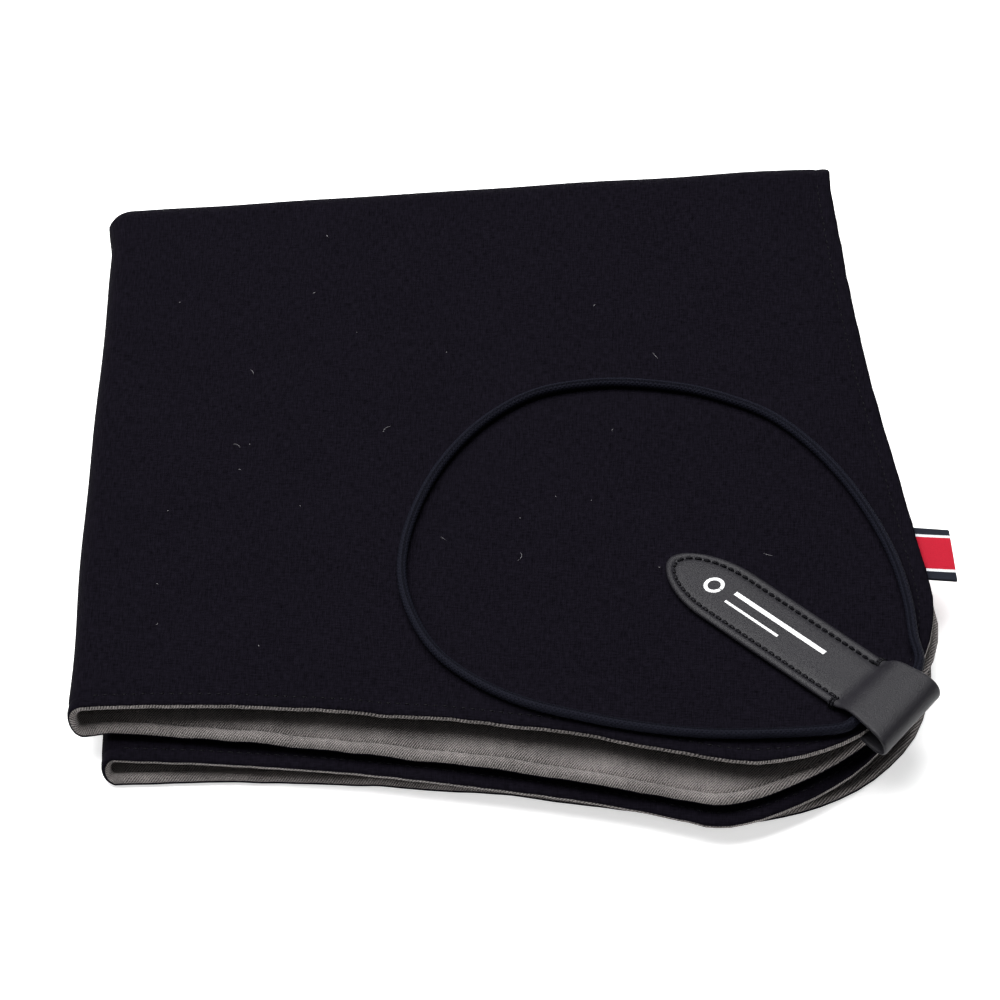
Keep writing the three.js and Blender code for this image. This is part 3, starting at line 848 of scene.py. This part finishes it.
def make_cloth():
    books = [Book(TOP, SECOND, UPPER_FOLD_X, 0.5), Book(THIRD, BOTTOM, LOWER_FOLD_X, 0.4)]
    outer = BackFold(TOP, BOTTOM, OUTER_BACK_Y, 1)
    inner = BackFold(SECOND, THIRD, INNER_BACK_Y, -1)
    rings = HEM_RINGS[1:]

    def row(q, back, left):
        return np.concatenate([back[:, 0], [outline(q, left, inset)[-1, 0] for inset in rings]])

    insets = np.concatenate([np.full(len(books[0].upper_back), HEM_RINGS[0]), rings])
    rows = [
        row(TOP, books[0].upper_back, books[0].x), row(SECOND, books[0].lower_back, books[0].x),
        row(THIRD, books[1].upper_back, books[1].x), row(BOTTOM, books[1].lower_back, books[1].x),
    ]
    outer_surface = outer.surface(rows[0], rows[3], insets, 0.35)
    inner_surface = inner.surface(rows[1], rows[2], insets, 0.0)
    corner_surface = fold_corner(outer, inner, books)
    for kind, side, material in (("canvas", 1, CANVAS), ("lining", -1, LINING)):
        for name, book in zip(("upper", "lower"), books):
            piece = ply(f"{name}_cloth_{kind}", book.surface, side, material)
            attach(piece, name)
            nodes = [f"{q.name}_quarter_{kind}" for q in (book.upper, book.lower)]
            nodes.append(f"{name}_left_fold_{kind}")
            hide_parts(*nodes)
        for name, node, surface, low, high, flat, area in (
            ("outer_back", "outer_back_fold", outer_surface, 6, 16, (0.236, 0.0303), None),
            ("inner_back", "inner_back_fold", inner_surface, 9.0, 10.8, (0.236, 0.0101), 0.00168),
            ("fold_corner", "corner_fold", corner_surface, 9.0, 10.8, (0.0187, 0.0126), None),
        ):
            piece = ply(f"{name}_{kind}", surface, side, material)
            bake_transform(piece)
            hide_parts(f"{node}_{kind}")
    flat = (0.549, 0.2705)
    for kind, face, material in (("canvas", 1, THREAD), ("lining", -1, BOBBIN)):
        threads = [
            hem_stitches(f"{body}_{kind}_stitches", pair, left, body, face, material,
                         [f"{q.name}_hem_thread" for q in pair] if face > 0 else ())
            for body, pair, left in (("upper", (TOP, SECOND), UPPER_FOLD_X),
                                     ("lower", (THIRD, BOTTOM), LOWER_FOLD_X))
        ]


# ---- the leather strap ---------------------------------------------------------------------------
STRAP_THICK = 1.3
STRAP_TIP = 265
STRAP_SEWN_END = 346
STRAP_CREST = 357  # where the strap has risen over the loop
STRAP_TURN = 361  # where it starts to turn down to its fold
STRAP_FOLD = 370.5
STRAP_WIDTH = 24
STRAP_FOLD_WIDTH = 29
STRAP_OFFSET = 2.6
STRAP_SKEW = 0.17  # the fold lies this much askew
STRAP_STITCH_INSET = 3
SHOULDER = 25
SHOULDER_HANDLE = 13  # of the curve between the shoulder and the tip
TIP_HANDLE = 0.45  # the same at the tip, as a share of half the width
STRAP_INSETS = [0, 0.1, 0.35, 0.8, 1.4, 2.0, 2.5, 3.0, 3.5, 4.1, 5.0, 7.0, 9.5, 12.0]
STRAP_PLAIN = [0, 0.5, 0.85, 1, 1, 1, 1, 1, 1, 1, 1, 1, 1, 1]
STRAP_SEWN = [0, 0.6, 1.05, 1.4, 1.6, 1.5, 1.05, 0.62, 0.8, 1.1, 1.25, 1.3, 1.3, 1.3]


def strap_line():
    """The strap's middle line from the tip, over the loop, round the corner and back: (along, z)."""
    low, high = heights("corner_strap")
    top = heights("strap_thread")[0] - 0.05 - STRAP_THICK / 2
    crest = high - STRAP_THICK / 2
    bottom = low + STRAP_THICK / 2
    middle = (crest + bottom) / 2
    outermost = STRAP_FOLD - STRAP_THICK / 2

    def curve(a, b, c, d, n=14):
        return bezier(*np.array([a, b, c, d], float), np.linspace(0, 1, n + 1)[1:, None])

    parts = [
        np.array([[STRAP_TIP, top]]),
        np.column_stack([np.linspace(STRAP_TIP, STRAP_SEWN_END, 60)[1:], np.full(59, top)]),
        curve((STRAP_SEWN_END, top), (350, top), (351, crest), (STRAP_CREST, crest)),
        curve((STRAP_CREST, crest), (358, crest), (360, crest), (STRAP_TURN, crest), 3),
        curve((STRAP_TURN, crest), (367, crest), (outermost, middle + 3), (outermost, middle), 20),
        curve((outermost, middle), (outermost, middle - 3), (367, bottom), (STRAP_TURN, bottom), 20),
        np.column_stack([np.linspace(STRAP_TURN, STRAP_TIP, 60)[1:], np.full(59, bottom)]),
    ]
    return np.vstack(parts)


class Strap:
    def __init__(self):
        line = strap_line()
        self.at = run_length(line)
        self.line = line
        self.length = self.at[-1]
        tangent = np.gradient(line, self.at, axis=0)
        tangent /= np.linalg.norm(tangent, axis=1)[:, None]
        self.normal = np.column_stack([-tangent[:, 1], tangent[:, 0]])
        self.sewn = STRAP_SEWN_END - STRAP_TIP
        self.fold = float(self.at[np.argmax(line[:, 0])])

    def half_width(self, a):
        """Half the strap's width at a distance from the tip along it."""
        near = np.minimum(a, self.length - a)
        widen = smooth((near - self.sewn) / (self.fold - self.sewn))
        return lerp(STRAP_WIDTH / 2, STRAP_FOLD_WIDTH / 2, widen)

    def side(self, inset):
        """One side of the outline at an inset, from tip to tip, as (a, across)."""
        t = np.linspace(0, 1, 17)[:, None]
        half = STRAP_WIDTH / 2 - inset
        tip = [np.array(p, float) for p in
               ((inset, 0), (inset, half * TIP_HANDLE), (SHOULDER - SHOULDER_HANDLE, half), (SHOULDER, half))]
        end = bezier(*tip, t)
        a = np.concatenate([
            np.linspace(SHOULDER, self.sewn, 24)[1:], np.linspace(self.sewn, self.length - self.sewn, 60)[1:],
            np.linspace(self.length - self.sewn, self.length - SHOULDER, 24)[1:],
        ])
        share = 1 - inset / (STRAP_WIDTH / 2)
        body = np.column_stack([a, self.half_width(a) * share + 0.0])
        body[:, 1] = np.where(inset < 5, self.half_width(a) - inset, body[:, 1])
        last = end[::-1].copy()
        last[:, 0] = self.length - last[:, 0]
        return np.vstack([end, body, last[1:]])

    def solid(self, a, across, offset):
        """Points at a flat place of the strap, offset from its middle line."""
        along = np.interp(a, self.at, self.line[:, 0])
        z = np.interp(a, self.at, self.line[:, 1])
        n = np.column_stack([np.interp(a, self.at, self.normal[:, k]) for k in (0, 1)])
        near_fold = smooth((np.minimum(a, self.length - a) - self.sewn + 6) / 20)
        along = along + n[:, 0] * offset - STRAP_SKEW * across * near_fold
        return np.column_stack([along, across + STRAP_OFFSET, z + n[:, 1] * offset])


def make_strap():
    strap = Strap()
    rings = [strap.side(inset) for inset in STRAP_INSETS]
    cols = len(rings[0])
    points, flat = [], []
    groove_end = strap.sewn + 1.5
    for face in (1, -1):
        for k, ring in enumerate(rings):
            a, across = ring.T
            sewn = 1 - smooth((a - groove_end) / 3)
            share = lerp(STRAP_PLAIN[k], STRAP_SEWN[k], sewn) if face > 0 else STRAP_PLAIN[k]
            offset = face * STRAP_THICK / 2 * share
            for mirror in (1, -1):
                points.append(strap.solid(a, mirror * across, offset))
                flat.append(np.column_stack([a, mirror * across]))
    points, flat = np.vstack(points), np.vstack(flat)
    faces, last = [], len(rings) - 1

    def at(face, k, mirror, j):
        return ((face * len(rings) + k) * 2 + mirror) * cols + j

    for face in (0, 1):
        for mirror in (0, 1):
            for k in range(last):
                for j in range(cols - 1):
                    quad = (at(face, k, mirror, j), at(face, k, mirror, j + 1),
                            at(face, k + 1, mirror, j + 1), at(face, k + 1, mirror, j))
                    faces.append(quad if face ^ mirror else quad[::-1])
        for j in range(cols - 1):
            quad = (at(face, last, 0, j), at(face, last, 0, j + 1),
                    at(face, last, 1, j + 1), at(face, last, 1, j))
            faces.append(quad if face else quad[::-1])
    made = welded("strap_leather", place_diagonal(points), faces, LEATHER, flat)
    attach(made, "upper")
    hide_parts("corner_strap")

    # Stitching: down one side, round the tip and back up, and a wrap over the edge at each end.
    line = strap.side(STRAP_STITCH_INSET)
    line = line[line[:, 0] <= strap.sewn + 0.5][::-1][:-1]
    loop = np.vstack([line, line[::-1] * [1, -1]])
    surface = STRAP_THICK / 2 * 0.62 + 0.28
    seam = strap.solid(loop[:, 0], loop[:, 1], surface)
    parts = stitches_along(seam, np.tile([0, 0, 1.0], (len(seam), 1)), 2.9, 1.0, 0.14)
    half = STRAP_WIDTH / 2
    for sign in (1, -1):
        for shift in (0, 1.1):
            wrap = np.array([[strap.sewn + 1 - shift, sign * (half - 3.2), surface],
                             [strap.sewn + 1.2 - shift, sign * (half - 1.4), surface + 0.35],
                             [strap.sewn + 1.3 - shift, sign * (half - 0.1), surface + 0.05],
                             [strap.sewn + 1.3 - shift, sign * (half + 0.35), 0],
                             [strap.sewn + 1.3 - shift, sign * (half + 0.1), -1.2]])
            bar = catmull_rom(wrap, 5)
            bar = strap.solid(bar[:, 0], bar[:, 1], bar[:, 2])
            parts.append(tube(bar, np.full(len(bar), 0.42), 8, (1, 0.1, 0.2)))
    points, faces, flat = joined(parts)
    thread = mesh_object("strap_stitches", place_diagonal(points), faces, THREAD, flat)
    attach(thread, "upper")
    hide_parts("strap_thread")
    make_mark(strap)


def welded(name, points, faces, material, flat):
    """A mesh whose points that coincide are joined."""
    key = np.round(points / MM, 4) + 0.0
    _, keep, where = np.unique(key, axis=0, return_index=True, return_inverse=True)
    where = where.reshape(-1)
    clean = []
    for face in faces:
        face = tuple(dict.fromkeys(where[list(face)]))
        if len(face) > 2:
            clean.append(face)
    return mesh_object(name, points[keep], clean, material, flat[keep])


def make_mark(strap):
    """A generic stamped mark: a ring and two plain lines."""
    surface = STRAP_THICK / 2 * 1.3
    parts = []

    def slab(rows):
        """A thin closed plate over a grid of (a, across)."""
        rows = np.asarray(rows, float)
        n, m = rows.shape[:2]
        flat = rows.reshape(-1, 2)
        both = np.vstack([strap.solid(flat[:, 0], flat[:, 1], surface + h) for h in (0.05, -0.05)])
        return both, plate_faces(n, m), np.vstack([flat, flat])

    angle = np.linspace(0, 2 * np.pi, 37)
    ring = [[(19.5 + r * math.cos(t), r * math.sin(t)) for t in angle] for r in (2.1, 3.3)]
    parts.append(slab(ring))
    for start, end, across, width in ((27, 66, 1.9, 1.6), (27, 50, -2.6, 0.9)):
        a = np.linspace(start, end, 30)
        parts.append(slab([[(x, across + sign * width / 2) for x in a] for sign in (-1, 1)]))
    points, faces, flat = joined(parts)
    made = welded("strap_mark", place_diagonal(points), faces, FOIL, flat)
    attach(made, "upper")


# ---- the label and the lint ------------------------------------------------------------------------
def make_label():
    low, high = heights("side_label")
    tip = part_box("side_label")[1].x / MM - FOLD_CORNER[0] / MM
    start_y = (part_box("side_label")[1].y - FOLD_CORNER[1]) / MM
    length = 22
    thick = 0.42
    root = right_edge(TOP, start_y, 0) - 7
    reach = tip - root
    # Middle line of the ribbon in side view, from the root, round the fold and back to the root.
    run = np.linspace(0, 1, 14)
    gap = 0.27
    top = np.column_stack([root + run * (reach - 0.6), np.full(14, gap)])
    angle = np.linspace(np.pi / 2, -np.pi / 2, 9)[1:-1]
    nose = np.column_stack([root + reach - 0.6 + 0.4 * np.cos(angle), gap * np.sin(angle)])
    line = np.vstack([top, nose, (top * [1, -1])[::-1]])
    tangent = np.gradient(line, axis=0)
    tangent /= np.linalg.norm(tangent, axis=1)[:, None]
    normal = np.column_stack([-tangent[:, 1], tangent[:, 0]])
    centre = (low + high) / 2
    insets = np.array([0, 0.06, 0.2, 0.5])
    across = np.concatenate([insets, np.linspace(1.5, length - 1.5, 20), length - insets[::-1]])
    rim = np.interp(np.minimum(across, length - across), [0, 0.06, 0.2, 0.5], [0.25, 0.7, 0.95, 1])
    along = run_length(line)
    points, flat = [], []
    for face in (1, -1):
        for i, (p, n) in enumerate(zip(line, normal)):
            q = p[None] + face * n[None] * (thick / 2 * rim)[:, None]
            out = (q[:, 0] - root) / reach
            down = across / length
            curl = 0.9 * out**2 * np.sin(np.pi * down * 0.9) - 0.9 * out * down
            points.append(np.column_stack([q[:, 0] - out * (1.6 - 2.2 * down),
                                           start_y - across - 3 * out, centre + q[:, 1] + curl]))
            flat.append(np.column_stack([np.full(len(across), along[i]), across - length / 2]))
    points, flat = np.vstack(points), np.vstack(flat)
    faces = plate_faces(len(line), len(across))
    made = mesh_object("woven_label", place(points), faces, RIBBON, flat, 70)
    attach(made, "upper")
    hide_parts("side_label")


def make_lint():
    """A few fibres and specks of fluff that dark cotton always gathers."""
    rng = np.random.default_rng(11)
    parts = []
    for number in range(26):
        x, y = rng.uniform(20, 225), rng.uniform(-228, -20)
        z = HEIGHT + lift(TOP, UPPER_FOLD_X, np.array([x]), np.array([y]))[0] + 0.12
        length = rng.uniform(0.5, 1.2) if number > 7 else rng.uniform(2.5, 5)
        heading, bend = rng.uniform(0, 2 * np.pi), rng.uniform(-0.5, 0.5)
        t = np.linspace(0, 1, 8)
        angle = heading + bend * length * t
        path = np.column_stack([x + np.cumsum(np.cos(angle)) * length / 8,
                                y + np.cumsum(np.sin(angle)) * length / 8,
                                z + 0.1 * np.sin(np.pi * t)])
        thickness = 0.07 if number <= 7 else 0.13
        parts.append(tube(path, thickness * (1 - 0.6 * np.abs(2 * t - 1)), 5))
    points, faces, flat = joined(parts)
    made = mesh_object("canvas_lint", place(settle(points)), faces, LINT, flat)
    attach(made, "upper")


# ---- the studio ----------------------------------------------------------------------------------
def add_studio():
    floor_material = Shade(
        "white_floor", Roughness=0.9, Specular_IOR_Level=0.0, Base_Color=(0.86, 0.86, 0.86, 1),
        Emission_Color=(1, 1, 1, 1), Emission_Strength=0.6,
    )
    size = 6.0
    floor = mesh_object(
        "studio_floor", [(-size, -size, 0), (size, -size, 0), (size, size, 0), (-size, size, 0)],
        [(0, 1, 2, 3)], floor_material.material,
    )
    floor.location.z = -0.0002

    def softbox(name, location, width, depth, power):
        data = bpy.data.lights.new(name, "AREA")
        data.shape = "RECTANGLE"
        data.size, data.size_y, data.energy = width, depth, power
        light = bpy.data.objects.new(name, data)
        light.location = location
        light.rotation_euler = (-Vector(location)).to_track_quat("-Z", "Y").to_euler()
        bpy.context.scene.collection.objects.link(light)

    softbox("top_softbox", (-0.2, 0.45, 1.7), 1.9, 1.6, 72)
    softbox("front_softbox", (0.3, -1.5, 1.6), 1.2, 0.8, 2.5)
    softbox("left_softbox", (-1.6, 0.4, 1.2), 1.0, 1.0, 8)
    world = bpy.data.worlds.new("studio")
    world.use_nodes = True
    background = world.node_tree.nodes["Background"]
    background.inputs[0].default_value = (1, 1, 1, 1)
    background.inputs[1].default_value = 0.1
    bpy.context.scene.world = world
    bpy.context.scene.view_settings.view_transform = "Standard"
    bpy.context.scene.view_settings.look = "None"


add_camera()
make_loop()
make_cloth()
make_strap()
make_label()
make_lint()
add_studio()
